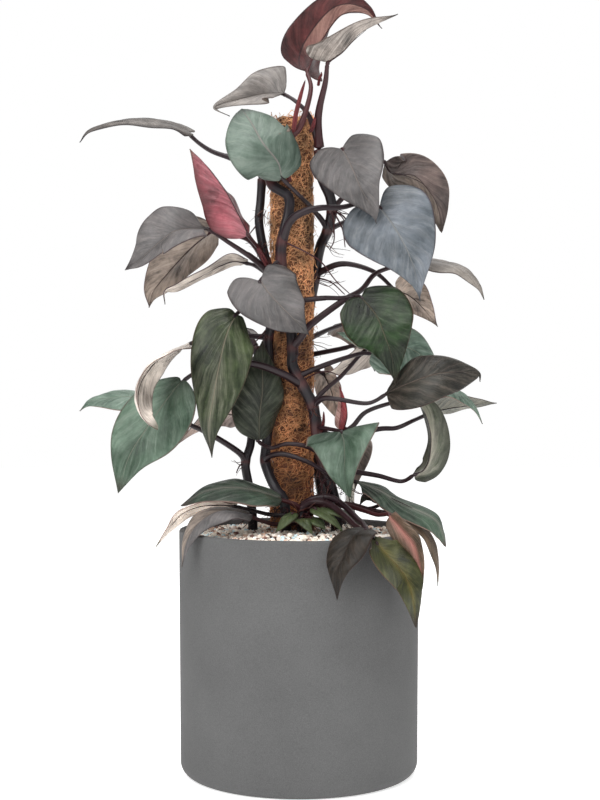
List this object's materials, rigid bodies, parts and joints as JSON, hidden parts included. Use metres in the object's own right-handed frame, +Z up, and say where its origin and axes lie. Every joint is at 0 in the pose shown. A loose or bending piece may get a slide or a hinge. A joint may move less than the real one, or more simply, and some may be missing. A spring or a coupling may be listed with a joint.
{
  "type": "potted new red philodendron",
  "caption": "Climbing philodendron with dark red-green leaves, trained up a coir pole in a round grey planter filled with mineral granulate.",
  "frame": {"origin": "centre of the pot's underside, on the floor", "axes": "+Z up along the pot's axis, -Y towards the pictured side, +X to the right in the picture"},
  "size_m": [0.5258, 0.3489, 0.9791],
  "materials": {
    "pot": "matte",
    "granulate": "matte",
    "soil": "matte",
    "pole_wood": "matte",
    "coir": "matte",
    "label": "satin",
    "stem": "satin",
    "leaf_green": "satin",
    "leaf_grey": "satin",
    "leaf_pale": "satin",
    "leaf_maroon": "satin",
    "leaf_young_red": "satin"
  },
  "bodies": {
    "root": {"pot": "pot", "mineral_granulate": "granulate", "root_ball": "soil", "pole_core": "pole_wood", "coir_pole": "coir", "plant_label": "label", "stem_front": "stem", "stem_left": "stem", "stem_outer_left": "stem", "stem_right": "stem", "basal_stems": "stem", "leaf_crown_maroon": "leaf_maroon", "leaf_crown_folded": "leaf_grey", "leaf_upper_left_grey": "leaf_grey", "leaf_far_left_rolled": "leaf_pale", "leaf_front_round": "leaf_grey", "leaf_left_young_red": "leaf_young_red", "leaf_left_drooping": "leaf_grey", "leaf_left_brown_back": "leaf_grey", "leaf_left_pale_thin": "leaf_pale", "leaf_centre_heart": "leaf_grey", "leaf_upper_right_grey": "leaf_grey", "leaf_upper_right_brown": "leaf_grey", "leaf_right_blue_large": "leaf_grey", "leaf_right_pale_thin": "leaf_pale", "leaf_right_brown_back": "leaf_pale", "leaf_right_green_cupped": "leaf_green", "leaf_right_small_back": "leaf_green", "leaf_right_green_back": "leaf_green", "leaf_right_dark_arched": "leaf_grey", "leaf_right_pale_low": "leaf_pale", "leaf_right_green_point": "leaf_green", "leaf_right_curled": "leaf_green", "leaf_low_centre_sheen": "leaf_green", "leaf_right_young_red": "leaf_young_red", "leaf_left_green_hanging": "leaf_green", "leaf_left_dark_upright": "leaf_green", "leaf_low_left_large": "leaf_green", "leaf_left_pale_arching": "leaf_pale", "leaf_far_left_small": "leaf_green", "leaf_left_brown_low": "leaf_pale", "leaf_rim_left_green": "leaf_green", "leaf_rim_left_pale": "leaf_pale", "leaf_rim_left_grey": "leaf_pale", "leaf_rim_front_dark": "leaf_green", "leaf_rim_right_olive": "leaf_green", "leaf_rim_right_pink": "leaf_young_red", "leaf_rim_right_brown": "leaf_pale", "leaf_low_right_green": "leaf_green", "leaf_rim_right_small": "leaf_green", "leaf_pole_right_pale": "leaf_pale", "leaf_pole_right_brown": "leaf_pale", "leaf_back_upper": "leaf_green", "leaf_back_right_upper": "leaf_green", "leaf_back_centre": "leaf_green", "leaf_back_right_middle": "leaf_green", "leaf_back_left": "leaf_green", "leaf_back_low_left": "leaf_green", "leaf_back_low_right": "leaf_green"}
  },
  "joints": []
}
